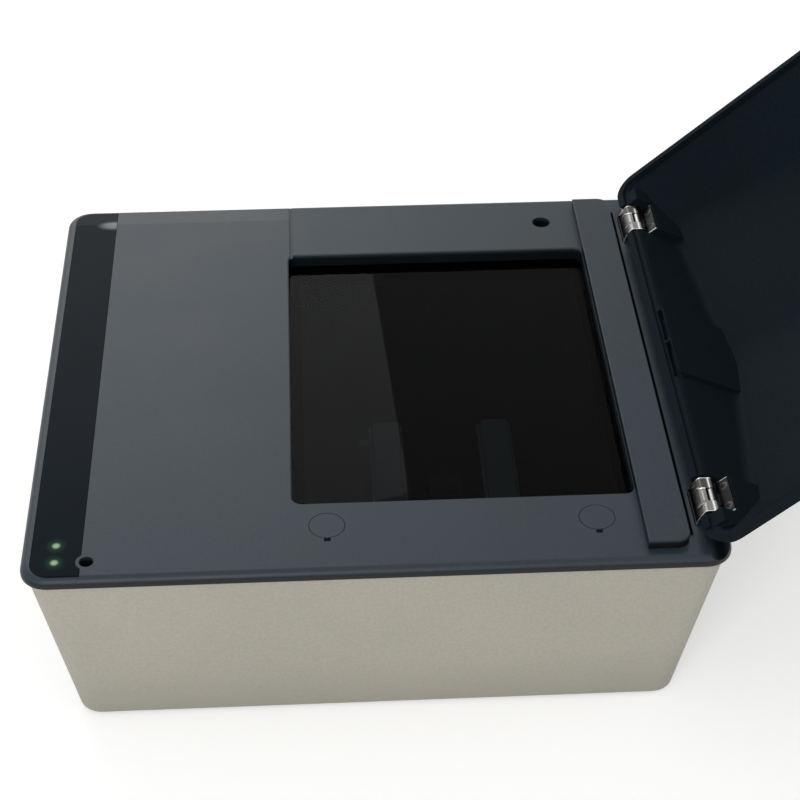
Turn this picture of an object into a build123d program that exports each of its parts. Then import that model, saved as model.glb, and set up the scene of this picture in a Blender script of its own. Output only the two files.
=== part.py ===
from build123d import *
import os
from math import asin, atan2, cos, degrees, hypot, radians, sin

# Passport reader: a light tub, a dark deck with the page glass sunk in it and a hood hinged on the right
# Millimetres, Z up, X to the right, Y to the back, origin under the middle of the base, hood stored open

# Overall form
deck_w = 210.0
deck_d = 195.0
body_h = 68.0
floor_gap = 1.0
lip_h = 3.1
lip_out = 1.4
side_lean = 9.0
deck_corner_r = 8.5
body_corner_r = 7.5
deck_edge_r = 2.5
base_edge_r = 1.2
overrun = 1.0
slip = 0.2

# Housing walls
wall = 2.6
floor_t = 3.0
rib_t = 1.8

# Document well and glass
well_w = 104.7
well_d = 132.1
well_back_in = 32.5
well_r = 3.0
well_bevel = 0.4
glass_drop = 4.5
glass_t = 2.5
gasket_t = 0.5
glass_gap = 0.3
ledge_w = 4.0
ledge_t = 3.0
skirt_t = 2.2

# Left side of the deck: smoked strip, seam and falling rear band
strip_in = 3.0
strip_w = 14.9
strip_front_in = 1.8
strip_back_in = 1.3
strip_t = 1.2
strip_r = 6.0
strip_gap = 0.15
band_l = 9.5
band_fall = 0.7
seam_in = 1.0
seam_w = 1.1
seam_depth = 0.9
lamp_in = 7.2
lamp_first = 6.2
lamp_pitch = 7.2
lamp_r = 1.1
lamp_gap = 0.25

# Stop bar
bar_in = 12.7
bar_w = 12.8
bar_end_in = 5.3
bar_h = 3.1
bar_corner_r = 4.0
bar_edge_r = 0.35
bar_screw_in = 12.2

# Cover screws, two of them under plugs
plug_left_in = 10.3
plug_left_off = 10.2
plug_right_in = 13.3
plug_right_off = 10.5
plug_r = 5.3
plug_t = 2.0
plug_gap = 0.2
pry_w = 2.0
pry_l = 1.6
back_hole_in = 12.5
back_hole_off = 17.0
back_hole_r = 3.2
front_hole_off = 1.6
front_hole_r = 2.15
strip_notch_r = 3.2
cup_t = 1.6
cup_floor_t = 2.0
cup_drop = 9.0
cover_screw_r = 1.5
cover_screw_head_r = 2.7
small_screw_head_r = 1.9
cover_screw_head_h = 1.8
cover_screw_l = 14.0
post_r = 4.2
post_core_r = 1.3

# Hinge line
hinge_in = 3.8
hinge_rise = 4.0
hinge_end_in = 22.3
hinge_l = 15.0
knuckle_l = 5.2
knuckle_gap = 0.3
pin_r = 0.88
pin_gap = 0.05
pin_over = 0.5
leaf_t = 0.7
leaf_bend_r = 1.3
deck_leaf_flat = 3.2
deck_leaf_crown_r = 2.6
deck_leaf_reach = 5.65
deck_leaf_foot_l = 6.4
lid_leaf_rise = 2.15
lid_leaf_in = 0.9
lid_leaf_out = 5.3
lid_leaf_bend_r = 0.9
lid_screw_out = 3.3
trough_r = 5.6
hinge_screw_r = 0.9
hinge_screw_head_r = 1.6
hinge_screw_head_h = 0.6
hinge_screw_l = 2.8
hinge_screw_dy = 4.4

# Hood, in its closed place: rise is measured from the hinge axis
hood_open = 138.24
hood_rim_rise = -3.7
hood_lip = 3.5
hood_wall = 3.0
hood_rim_w = 2.4
hood_step = 1.0
hood_corner_r = 8.0
hood_top_corner_r = 30.0
side_slope = 0.45
end_slope = 1.19
hood_peak = 29.4
hood_reach = 34.0
roof_r = 680.0
gable_fall = 0.113
ridge_r = 60.0
crown_r = 5.0
crown_in_r = 3.6
arch_low = 2.9
arch_high = 12.2
arch_run = 64.0
arch_r = 45.0
arch_depth = 22.0
boss_t = 3.0
boss_in = 8.0
boss_out = 15.4
pocket_half = 8.6
pocket_deep = 16.0
panel_t = 1.6
panel_y0 = -17.0
panel_y1 = 17.5
rim_slots = ((-18.5, 0.0), (1.0, 17.6))
rim_slot_w = 1.8
rim_slot_depth = 3.0

# Optics under the glass
seal_t = 1.0
seal_w = 4.0
box_flange_t = 2.0
box_flange_w = 5.0
box_wall = 1.6
box_floor_z = 13.0
box_floor_w = 60.0
box_floor_d = 84.0
box_floor_r = 6.0
lug_r = 3.6
lug_dy = 42.0
lug_off = 5.6
board_t = 1.6
board_z = 6.5
camera_board_w = 32.0
camera_holder_w = 15.0
camera_holder_h = 5.0
lens_r = 5.0
lens_top_r = 6.0
lens_top_h = 2.4
lens_h = 8.4
lens_glass_r = 4.0
lens_glass_t = 1.2
lens_hole_gap = 0.8
light_board_w = 12.0
light_board_in = 4.5
light_board_end_in = 8.0
led_w = 3.5
led_h = 1.2
led_count = 6
diffuser_w = 10.0
diffuser_h = 4.2
diffuser_t = 0.9
diffuser_end_in = 2.0

# Electronics
main_left_in = 17.0
main_w = 74.0
main_d = 104.0
main_back_gap = 4.0
main_hole_in = 4.0
standoff_r = 3.0
screw_r = 1.2
screw_head_r = 2.3
screw_head_h = 1.5
screw_gap = 0.05
chip_w = 14.0
chip_h = 1.6
sink_w = 16.0
sink_base_h = 1.8
sink_h = 8.0
sink_fins = 5
fin_t = 1.2
usb_in = 36.0
usb_w = 12.0
usb_h = 11.0
usb_l = 16.0
usb_mouth_w = 8.6
usb_mouth_h = 7.6
usb_mouth_depth = 9.0
usb_tongue_w = 5.6
usb_tongue_h = 3.2
jack_in = 13.0
jack_w = 9.4
jack_h = 11.0
jack_l = 14.0
jack_bore_r = 3.2
jack_bore_depth = 9.5
jack_pin_r = 1.0
port_in = 9.5
port_gap = 0.4
antenna_strip_gap = 5.1
antenna_well_gap = 10.8
antenna_front_in = 9.1
antenna_back_in = 5.0
antenna_gap = 1.0
status_left = 3.6
status_right = 4.4
status_wide = 11.8
status_front = 1.3
status_step = 7.5
status_d = 32.8
status_drop = 5.0
buzzer_r = 4.0
buzzer_h = 3.6
ribbon_t = 0.5
ribbon_w = 8.0
plug_body_h = 2.2
plug_body_d = 3.6
cable_r = 8.0

# Feet and vents
foot_r = 8.0
foot_in = 20.0
foot_recess = 1.4
foot_gap = 0.15
foot_edge_r = 0.5
vent_w = 2.4
vent_l = 24.0
vent_pitch = 5.0
vent_count = 7
vent_in = 55.0
vent_front_in = 45.5
vent_apart = 58.0

# Places on the deck that follow from its edges
half_w = deck_w / 2
half_d = deck_d / 2
hinge_x = half_w - hinge_in
hinge_ys = (hinge_end_in - half_d, half_d - hinge_end_in)
deck_leaf_foot_x = hinge_x - deck_leaf_reach
bar_x1 = half_w - bar_in
bar_x0 = bar_x1 - bar_w
bar_y1 = half_d - bar_end_in
bar_y0 = -bar_y1
bar_screw_ys = (bar_y0 + bar_screw_in, 0, bar_y1 - bar_screw_in)
well_x1 = bar_x0
well_x0 = well_x1 - well_w
well_y1 = half_d - well_back_in
well_y0 = well_y1 - well_d
strip_x0 = strip_in - half_w
strip_x1 = strip_x0 + strip_w
strip_y0 = strip_front_in - half_d
strip_y1 = half_d - strip_back_in
band_y = half_d - band_l
seam_x = well_x0 + seam_in
lamp_x = strip_x0 + lamp_in
lamp_ys = (strip_y0 + lamp_first + lamp_pitch, strip_y0 + lamp_first)
left_plug = (well_x0 + plug_left_in, well_y0 - plug_left_off)
right_plug = (well_x1 - plug_right_in, well_y0 - plug_right_off)
plug_places = (left_plug, right_plug)
back_hole = (well_x1 - back_hole_in, well_y1 + back_hole_off)
front_hole = (strip_x1 + front_hole_off, strip_y0 + lamp_first)

# Places of the boards and sockets
port_y = half_d - port_in
main_x0 = main_left_in - half_w
main_x1 = main_x0 + main_w
main_y1 = port_y - main_back_gap
main_y0 = main_y1 - main_d
usb_x = main_x0 + usb_in
jack_x = main_x0 + jack_in
antenna_x0 = strip_x1 + antenna_strip_gap
antenna_x1 = well_x0 - antenna_well_gap
antenna_y0 = well_y0 + antenna_front_in
antenna_y1 = well_y1 - antenna_back_in
status_x0 = lamp_x - status_left
status_x1 = lamp_x + status_right
status_wide_x1 = lamp_x + status_wide
status_y0 = lamp_ys[1] - status_front
status_step_y = lamp_ys[1] + status_step
status_y1 = status_y0 + status_d
vent_x = vent_in - half_w
vent_ys = (vent_front_in - half_d, vent_front_in + vent_apart - half_d)

# Heights and centres that follow from the sizes above
deck_z = floor_gap + body_h
rim_z = deck_z - lip_h
hinge_z = deck_z + hinge_rise
top_w = deck_w - 2 * lip_out
top_d = deck_d - 2 * lip_out
tub_floor_z = floor_gap + floor_t
glass_top_z = deck_z - glass_drop
glass_low_z = glass_top_z - glass_t
ledge_z = glass_low_z - gasket_t
skirt_z = ledge_z - ledge_t
box_top_z = skirt_z - seal_t
well_cx = (well_x0 + well_x1) / 2
well_cy = (well_y0 + well_y1) / 2
cup_z = deck_z - cup_drop
light_board_dx = box_floor_w / 2 - light_board_in - light_board_w / 2
light_board_d = box_floor_d - 2 * light_board_end_in
diffuser_d = light_board_d - 2 * diffuser_end_in
board_top_z = board_z + board_t
LOW = (Align.MIN, Align.MIN, Align.MIN)
STAND = (Align.CENTER, Align.CENTER, Align.MIN)


def block(x0, x1, y0, y1, z0, z1):
    return Pos(x0, y0, z0) * Box(x1 - x0, y1 - y0, z1 - z0, align=LOW)


def rod(x, y, z0, z1, r):
    return Pos(x, y, z0) * Cylinder(r, z1 - z0, align=STAND)


def slab(cx, cy, w, d, r, z0, z1):
    return extrude(Pos(cx, cy, z0) * RectangleRounded(w, d, r), z1 - z0)


def frustum(sections, cx, cy):
    return loft([Pos(cx, cy, z) * RectangleRounded(w, d, r) for w, d, r, z in sections], ruled=True)


def prism_x(points, x0, x1):
    return extrude(Plane.YZ.offset(x0) * make_face(Polyline(*points, close=True)), x1 - x0)


def prism_y(points, y0, y1):
    return extrude(Plane.XZ.offset(-y1) * make_face(Polyline(*points, close=True)), y1 - y0)


def together(pieces):
    pieces = list(pieces)
    whole = pieces[0]
    for piece in pieces[1:]:
        whole = whole + piece
    return whole


def screw(x, y, z, head_r, head_h, shank_r, shank_l):
    # Z is the seat of the head, the shank runs down from it
    return rod(x, y, z, z + head_h, head_r) + rod(x, y, z - shank_l, z, shank_r)


def screw_up(x, y, z, head_r, head_h, shank_r, shank_l):
    return rod(x, y, z - head_h, z, head_r) + rod(x, y, z, z + shank_l, shank_r)


def lean_at(z):
    return side_lean * (rim_z - z) / (rim_z - floor_gap)


# Lower housing: a drafted tub with a closed floor
def tub_section(z, inset, r):
    lean = lean_at(z) + inset
    return (top_w - 2 * lean, top_d - 2 * lean, r, z)


tub_outer = frustum([tub_section(floor_gap, 0, body_corner_r), tub_section(rim_z, 0, body_corner_r)], 0, 0)
tub_outer = fillet(tub_outer.edges().group_by(Axis.Z)[0], base_edge_r)
tub_in_r = body_corner_r - wall
tub_hollow = frustum([tub_section(z, wall, tub_in_r) for z in (tub_floor_z, rim_z + overrun)], 0, 0)
inside = tub_outer & tub_hollow

# Screw posts under the cover, tied to the floor by crossed ribs
screw_places = [(x, y, cup_z - cup_floor_t) for x, y in plug_places]
screw_places.append((back_hole[0], back_hole[1], cup_z - cup_floor_t))
screw_places.append((front_hole[0], front_hole[1], cup_z - cup_floor_t))
rib_top = (cup_z + tub_floor_z) / 2
rib_reach = 2 * post_r
fittings = []
for x, y, top in screw_places:
    fittings.append(rod(x, y, tub_floor_z, top, post_r))
    fittings.append(block(x - rib_reach, x + rib_reach, y - rib_t / 2, y + rib_t / 2, tub_floor_z, rib_top))
    fittings.append(block(x - rib_t / 2, x + rib_t / 2, y - rib_reach, y + rib_reach, tub_floor_z, rib_top))

# Standoffs of the main board and of the camera board
hole_left = main_x0 + main_hole_in
hole_right = main_x1 - main_hole_in
hole_front = main_y0 + main_hole_in
hole_back = main_y1 - 4 * main_hole_in
main_holes = [(main_x0 + 4 * main_hole_in, hole_front), (hole_right, hole_front)]
main_holes += [(hole_left, hole_back), (hole_right, hole_back)]
camera_half = camera_board_w / 2 - main_hole_in
camera_holes = [(well_cx + sx * camera_half, well_cy + sy * camera_half) for sx in (-1, 1) for sy in (-1, 1)]
for x, y in main_holes + camera_holes:
    fittings.append(rod(x, y, tub_floor_z, board_z, standoff_r))
lower_housing = (tub_outer - tub_hollow) + (together(fittings) & inside)
for x, y, top in screw_places:
    lower_housing -= rod(x, y, top - cover_screw_l, top + overrun, post_core_r + 4 * screw_gap)
for x, y in main_holes + camera_holes:
    lower_housing -= rod(x, y, tub_floor_z, board_z + overrun, screw_r + screw_gap)

# Openings of the two sockets in the rear wall
rear_y = top_d / 2 + overrun
port_in_y = port_y - usb_l / 2
usb_z = board_top_z
lower_housing -= block(usb_x - usb_w / 2 - port_gap, usb_x + usb_w / 2 + port_gap, port_in_y, rear_y,
                       usb_z - port_gap, usb_z + usb_h + port_gap)
lower_housing -= block(jack_x - jack_w / 2 - port_gap, jack_x + jack_w / 2 + port_gap, port_in_y, rear_y,
                       usb_z - port_gap, usb_z + jack_h + port_gap)

# Vent slots in the floor and the recesses of the feet
base_w = top_w - 2 * side_lean
base_d = top_d - 2 * side_lean
foot_places = [(sx * (base_w / 2 - foot_in), sy * (base_d / 2 - foot_in)) for sx in (-1, 1) for sy in (-1, 1)]
foot_places.append((0, 0))
for vy in vent_ys:
    for k in range(vent_count):
        vx = vent_x + (k - (vent_count - 1) / 2) * vent_pitch
        slot = Pos(vx, vy, floor_gap - overrun) * SlotOverall(vent_l, vent_w, rotation=90)
        lower_housing -= extrude(slot, floor_t + 2 * overrun)
for x, y in foot_places:
    lower_housing -= rod(x, y, floor_gap - overrun, floor_gap + foot_recess, foot_r + foot_gap)

# Rubber feet
feet = []
for x, y in foot_places:
    foot = rod(x, y, 0, floor_gap + foot_recess, foot_r)
    feet.append(fillet(foot.edges().group_by(Axis.Z)[0], foot_edge_r))
rubber_feet = together(feet)

# Top cover: deck plate with a rounded rim and a tongue inside the tub
plate = slab(0, 0, deck_w, deck_d, deck_corner_r, rim_z, deck_z)
plate = fillet(plate.edges().group_by(Axis.Z)[-1], deck_edge_r)
tongue_z = rim_z - lip_h
tongue_out = wall + slip + lean_at(tongue_z)
tongue_in = tongue_out + rib_t
tongue_in_r = tub_in_r - rib_t
top_cover = plate + slab(0, 0, top_w - 2 * tongue_out, top_d - 2 * tongue_out, tub_in_r, tongue_z, rim_z)
top_cover -= slab(0, 0, top_w - 2 * tongue_in, top_d - 2 * tongue_in, tongue_in_r, tongue_z - overrun, rim_z)

# Skirt of the document well with the ledge that carries the glass
skirt_w = well_w + 2 * skirt_t
skirt_d = well_d + 2 * skirt_t
top_cover += slab(well_cx, well_cy, skirt_w, skirt_d, well_r + skirt_t, skirt_z, rim_z)

# Screw cups, screw bosses of the light box, of the status board and of the antenna board
lug_places = [(x, well_cy + sy * lug_dy) for x in (well_x0 - lug_off, well_x1 + lug_off) for sy in (-1, 1)]
cups = [(x, y, plug_r + cup_t, plug_r + plug_gap) for x, y in plug_places]
cups.append((back_hole[0], back_hole[1], back_hole_r + cup_t, back_hole_r))
cups.append((front_hole[0], front_hole[1], front_hole_r + cup_t, front_hole_r))
room_gap = wall + slip
room = frustum([tub_section(z, room_gap, tub_in_r) for z in (floor_gap, rim_z)], 0, 0)
for x, y, r_out, r_in in cups:
    top_cover += rod(x, y, cup_z - cup_floor_t, rim_z, r_out) & room
for x, y in lug_places:
    top_cover += rod(x, y, box_top_z, rim_z, lug_r)
status_z = rim_z - status_drop
status_holes = [(lamp_x, status_step_y + k * standoff_r) for k in (2, 6)]
for x, y in status_holes:
    top_cover += rod(x, y, status_z, rim_z, standoff_r)
antenna_z = rim_z - antenna_gap - board_t
antenna_holes = [(x, y) for x in (antenna_x0 + main_hole_in, antenna_x1 - main_hole_in)
                 for y in (antenna_y0 + main_hole_in, antenna_y1 - main_hole_in)]
for x, y in antenna_holes:
    top_cover += rod(x, y, rim_z - antenna_gap, rim_z, standoff_r)

# Hollows of the cover: well, glass seat, bevel of the well, cups and screw holes
top_cover -= slab(well_cx, well_cy, well_w, well_d, well_r, ledge_z, deck_z + overrun)
open_w = well_w - 2 * ledge_w
open_d = well_d - 2 * ledge_w
top_cover -= slab(well_cx, well_cy, open_w, open_d, well_r, skirt_z - overrun, ledge_z + overrun)
bevel_over = well_bevel + overrun
bevel_low = (well_w, well_d, well_r, deck_z - well_bevel)
bevel_high = (well_w + 2 * bevel_over, well_d + 2 * bevel_over, well_r + bevel_over, deck_z + overrun)
top_cover -= frustum([bevel_low, bevel_high], well_cx, well_cy)
for x, y, r_out, r_in in cups:
    top_cover -= rod(x, y, cup_z, deck_z + overrun, r_in)
    top_cover -= rod(x, y, cup_z - cup_floor_t - overrun, cup_z + overrun, cover_screw_r + slip)
for x, y in plug_places:
    pry_y = y - plug_r
    top_cover -= block(x - pry_w / 2, x + pry_w / 2, pry_y - pry_l, pry_y, deck_z - plug_t, deck_z + overrun)
for x, y in lug_places:
    top_cover -= rod(x, y, box_top_z - overrun, rim_z - screw_r, screw_r + screw_gap)
for x, y in status_holes:
    top_cover -= rod(x, y, status_z - overrun, rim_z - screw_r, screw_r + screw_gap)
for x, y in antenna_holes:
    top_cover -= rod(x, y, antenna_z, deck_z - 2 * screw_r, screw_r / 2 + screw_gap)

# Band behind the glass that falls to the back edge, left of the seam
band_slope = band_fall / band_l
band_end = half_d + overrun
band_low = deck_z - band_slope * (band_end - band_y)
band_side = [(band_y, deck_z), (band_end, band_low), (band_end, deck_z + overrun), (band_y, deck_z + overrun)]
band_cut = prism_x(band_side, -half_w - overrun, seam_x - seam_w / 2)

# Smoked strip with a round cut-out round the front screw hole, and its recess
strip_cx = (strip_x0 + strip_x1) / 2
strip_cy = (strip_y0 + strip_y1) / 2
strip_d = strip_y1 - strip_y0


def strip_form(grow, z0, z1):
    whole = slab(strip_cx, strip_cy, strip_w + 2 * grow, strip_d + 2 * grow, strip_r + grow, z0, z1)
    square = block(strip_cx, strip_x1 + grow, strip_cy, strip_y1 + grow, z0, z1)
    square += block(strip_cx, strip_x1 + grow, strip_y0 - grow, strip_cy, z0, z1)
    notch = rod(front_hole[0], front_hole[1], z0 - overrun, z1 + overrun, strip_notch_r - grow)
    return whole + square - notch


strip_z = deck_z - strip_t
status_window = (strip_form(-strip_gap, strip_z, deck_z) & plate) - band_cut
top_cover -= strip_form(0, strip_z, deck_z + overrun)
for y in lamp_ys:
    top_cover -= rod(lamp_x, y, rim_z - overrun, strip_z + overrun, lamp_r + lamp_gap)

# Seam at the end of the band
top_cover -= band_cut
top_cover -= block(seam_x - seam_w / 2, seam_x + seam_w / 2, well_y1 - overrun, band_end,
                   deck_z - seam_depth, deck_z + overrun)

# Trough round the hinge line, slots of the deck leaves and screw holes of bar and leaves
trough = Pos(hinge_x, 0, hinge_z) * Rot(X=90) * Cylinder(trough_r, deck_d + 2 * overrun)
top_cover -= trough
bar_cx = (bar_x0 + bar_x1) / 2
for y in bar_screw_ys:
    top_cover -= rod(bar_cx, y, rim_z - overrun, deck_z + overrun, screw_r + screw_gap)
slot_half = leaf_t / 2 + slip
foot_screw_x = deck_leaf_foot_x - deck_leaf_foot_l / 2
for hy in hinge_ys:
    leaf_y0 = hy - hinge_l / 2 - slip
    leaf_y1 = hy + hinge_l / 2 + slip
    top_cover -= block(deck_leaf_foot_x - slot_half, deck_leaf_foot_x + slot_half, leaf_y0, leaf_y1,
                       rim_z - overrun, deck_z + overrun)
    top_cover -= block(deck_leaf_foot_x - slot_half - leaf_bend_r, deck_leaf_foot_x, leaf_y0, leaf_y1,
                       rim_z - overrun, rim_z + leaf_bend_r)
    for sy in (-1, 1):
        top_cover -= rod(foot_screw_x, hy + sy * hinge_screw_dy, rim_z - overrun,
                         rim_z + hinge_screw_l - leaf_t, hinge_screw_r + screw_gap)

# Stop bar, screwed from below
bar = slab(bar_cx, 0, bar_w, bar_y1 - bar_y0, bar_corner_r, deck_z, deck_z + bar_h)
bar += block(bar_x0, bar_cx, bar_y0, bar_y0 + bar_corner_r, deck_z, deck_z + bar_h)
bar += block(bar_x0, bar_cx, bar_y1 - bar_corner_r, bar_y1, deck_z, deck_z + bar_h)
bar = fillet(bar.edges().group_by(Axis.Z)[-1], bar_edge_r)
bar_hole_l = bar_h - bar_edge_r - screw_gap
for y in bar_screw_ys:
    bar -= rod(bar_cx, y, deck_z - overrun, deck_z + bar_hole_l, screw_r + screw_gap)
stop_bar = bar
bar_bite = lip_h + bar_hole_l - bar_edge_r
stop_bar_screws = together(screw_up(bar_cx, y, rim_z, screw_head_r, screw_head_h, screw_r, bar_bite)
                           for y in bar_screw_ys)

# Plugs, each with its pry slot beside it
plugs = []
for x, y in plug_places:
    plug = rod(x, y, deck_z - plug_t, deck_z, plug_r)
    plugs.append(plug + rod(x, y, deck_z - 2 * plug_t, deck_z - plug_t, plug_r - cup_t))
screw_plugs = together(plugs)

# Cover screws
big_screws = [screw(x, y, cup_z, cover_screw_head_r, cover_screw_head_h, cover_screw_r, cover_screw_l)
              for x, y in list(plug_places) + [back_hole]]
big_screws.append(screw(front_hole[0], front_hole[1], cup_z, small_screw_head_r, cover_screw_head_h,
                        cover_screw_r, cover_screw_l))
cover_screws = together(big_screws)

# Page glass on its gasket
glass_w = well_w - 2 * glass_gap
glass_d = well_d - 2 * glass_gap
glass_r = well_r - glass_gap
document_glass = slab(well_cx, well_cy, glass_w, glass_d, glass_r, glass_low_z, glass_top_z)
glass_gasket = slab(well_cx, well_cy, glass_w, glass_d, glass_r, ledge_z, glass_low_z)
glass_gasket -= slab(well_cx, well_cy, open_w, open_d, well_r, ledge_z - overrun, glass_low_z + overrun)

# Status board with its two lamps and the buzzer
status_board = block(status_x0, status_x1, status_y0, status_y1, status_z - board_t, status_z)
status_board += block(status_x0, status_wide_x1, status_step_y, status_y1, status_z - board_t, status_z)
for x, y in status_holes:
    status_board -= rod(x, y, status_z - board_t - overrun, status_z + overrun, screw_r + screw_gap)
status_screws = together(screw_up(x, y, status_z - board_t, screw_head_r, screw_head_h, screw_r,
                                  board_t + status_drop - 2 * screw_r) for x, y in status_holes)
lamp_top = strip_z - screw_gap
lamps = []
for y in lamp_ys:
    lamp = rod(lamp_x, y, status_z, lamp_top, lamp_r)
    lamps.append(fillet(lamp.edges().group_by(Axis.Z)[-1], lamp_r / 2))
status_leds = together(lamps)
buzzer_y = (status_holes[0][1] + status_holes[1][1]) / 2
buzzer = rod(status_wide_x1 - buzzer_r, buzzer_y, status_z - board_t - buzzer_h, status_z - board_t, buzzer_r)

# Contactless antenna board under the left of the deck, its spiral raised on the underside
antenna_board = block(antenna_x0, antenna_x1, antenna_y0, antenna_y1, antenna_z, antenna_z + board_t)
for x, y in antenna_holes:
    antenna_board -= rod(x, y, antenna_z - overrun, antenna_z + board_t + overrun, screw_r / 2 + screw_gap)
antenna_screws = together(screw_up(x, y, antenna_z, screw_head_r, screw_head_h, screw_r / 2,
                                   board_t + antenna_gap + screw_r / 2) for x, y in antenna_holes)

# Light seal and light box: a black funnel that narrows down to the camera
flange_w = open_w + 2 * box_flange_w
flange_d = open_d + 2 * box_flange_w
seal_w_out = open_w + 2 * seal_w
seal_d_out = open_d + 2 * seal_w
light_seal = slab(well_cx, well_cy, seal_w_out, seal_d_out, well_r + seal_w, box_top_z, skirt_z)
light_seal -= slab(well_cx, well_cy, open_w, open_d, well_r, box_top_z - overrun, skirt_z + overrun)
box_low = box_floor_z - box_wall
funnel = frustum([(box_floor_w, box_floor_d, box_floor_r, box_low),
                  (open_w + 2 * box_wall, open_d + 2 * box_wall, box_floor_r, box_top_z)], well_cx, well_cy)
flange = slab(well_cx, well_cy, flange_w, flange_d, box_floor_r, box_top_z - box_flange_t, box_top_z)
light_box = funnel + flange
lug_z = box_top_z - box_flange_t
for x, y in lug_places:
    inner_x = well_x0 + lug_r if x < well_cx else well_x1 - lug_r
    light_box += rod(x, y, lug_z, box_top_z, lug_r)
    light_box += block(min(x, inner_x), max(x, inner_x), y - lug_r, y + lug_r, lug_z, box_top_z)
box_in_w = box_floor_w - 2 * box_wall
box_in_d = box_floor_d - 2 * box_wall
run_up = (box_top_z + overrun - box_floor_z) / (box_top_z - box_floor_z)
light_box -= frustum([(box_in_w, box_in_d, box_floor_r - box_wall, box_floor_z),
                      (box_in_w + (open_w - box_in_w) * run_up, box_in_d + (open_d - box_in_d) * run_up,
                       box_floor_r - box_wall, box_top_z + overrun)], well_cx, well_cy)
light_box -= rod(well_cx, well_cy, box_low - overrun, box_floor_z + overrun, lens_top_r + lens_hole_gap)
for x, y in lug_places:
    light_box -= rod(x, y, box_top_z - box_flange_t - overrun, box_top_z + overrun, screw_r + slip)
box_bite = rim_z - lug_z - 2 * screw_r
light_box_screws = together(screw_up(x, y, lug_z, screw_head_r, screw_head_h, screw_r, box_bite)
                            for x, y in lug_places)

# Camera: board, holder, lens barrel and front lens
def square(x, y, side, z0, z1):
    return Pos(x, y, z0) * Box(side, side, z1 - z0, align=STAND)


camera_board = square(well_cx, well_cy, camera_board_w, board_z, board_top_z)
for x, y in camera_holes:
    camera_board -= rod(x, y, board_z - overrun, board_top_z + overrun, screw_r + screw_gap)
holder_top = board_top_z + camera_holder_h
holder_low = box_low - slip
camera_holder = square(well_cx, well_cy, camera_holder_w, board_top_z, min(holder_low, holder_top))
camera_holder -= rod(well_cx, well_cy, board_top_z - overrun, holder_top + overrun, lens_r + screw_gap)
lens_z = board_top_z + chip_h
lens_end = lens_z + lens_h
glass_seat = lens_end - lens_glass_t - screw_gap
camera_lens = rod(well_cx, well_cy, lens_z, lens_end, lens_r)
camera_lens += rod(well_cx, well_cy, lens_end - lens_top_h, lens_end, lens_top_r)
camera_lens -= rod(well_cx, well_cy, glass_seat, lens_end + overrun, lens_glass_r)
camera_lens -= rod(well_cx, well_cy, lens_z - overrun, lens_end, lens_glass_r - lens_glass_t / 2)
lens_ball_r = (lens_glass_r ** 2 + lens_glass_t ** 2) / (2 * lens_glass_t)
lens_ball = Pos(well_cx, well_cy, glass_seat + lens_glass_t - lens_ball_r) * Sphere(lens_ball_r)
lens_glass = rod(well_cx, well_cy, glass_seat, glass_seat + lens_glass_t, lens_glass_r - screw_gap) & lens_ball
image_chip = square(well_cx, well_cy, lens_glass_r, board_top_z, lens_z - screw_gap)
bite = board_t + board_z - tub_floor_z - slip
camera_screws = together(screw(x, y, board_top_z, screw_head_r, screw_head_h, screw_r, bite)
                         for x, y in camera_holes)

# Lights: two boards on the floor of the light box, white lamps in a row and a milky cover over each
light_z = box_floor_z + board_t
light_xs = (well_cx - light_board_dx, well_cx + light_board_dx)
half_board = light_board_w / 2
light_y0 = well_cy - light_board_d / 2
light_y1 = well_cy + light_board_d / 2
light_boards = together(block(x - half_board, x + half_board, light_y0, light_y1, box_floor_z, light_z)
                        for x in light_xs)
led_pitch = (diffuser_d - 2 * diffuser_t) / led_count
led_ys = [well_cy + (k - (led_count - 1) / 2) * led_pitch for k in range(led_count)]
light_leds = together(square(x, y, led_w, light_z, light_z + led_h) for x in light_xs for y in led_ys)
covers = []
for cx in light_xs:
    shell = slab(cx, well_cy, diffuser_w, diffuser_d, 2 * diffuser_t, light_z, light_z + diffuser_h)
    shell = fillet(shell.edges().group_by(Axis.Z)[-1], diffuser_t)
    shell -= slab(cx, well_cy, diffuser_w - 2 * diffuser_t, diffuser_d - 2 * diffuser_t, diffuser_t,
                  light_z - overrun, light_z + diffuser_h - diffuser_t)
    covers.append(shell)
diffusers = together(covers)

# Main board with its processor, heat sink, sockets and screws
main_board = block(main_x0, main_x1, main_y0, main_y1, board_z, board_top_z)
for x, y in main_holes:
    main_board -= rod(x, y, board_z - overrun, board_top_z + overrun, screw_r + screw_gap)
board_screws = together(screw(x, y, board_top_z, screw_head_r, screw_head_h, screw_r, bite)
                        for x, y in main_holes)
main_cx = (main_x0 + main_x1) / 2
main_cy = (main_y0 + main_y1) / 2
sink_z = board_top_z + chip_h
processor = square(main_cx, main_cy, chip_w, board_top_z, sink_z)
memory_y = main_cy - 2 * chip_w
for x in (main_cx - chip_w, main_cx + chip_w):
    processor += block(x - chip_w / 2, x + chip_w / 4, memory_y, memory_y + chip_w / 2, board_top_z, sink_z)
heat_sink = square(main_cx, main_cy, sink_w, sink_z, sink_z + sink_base_h)
half_sink = sink_w / 2
fin_pitch = (sink_w - fin_t) / (sink_fins - 1)
for k in range(sink_fins):
    fx = main_cx - half_sink + k * fin_pitch
    heat_sink += block(fx, fx + fin_t, main_cy - half_sink, main_cy + half_sink, sink_z, sink_z + sink_h)

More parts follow.
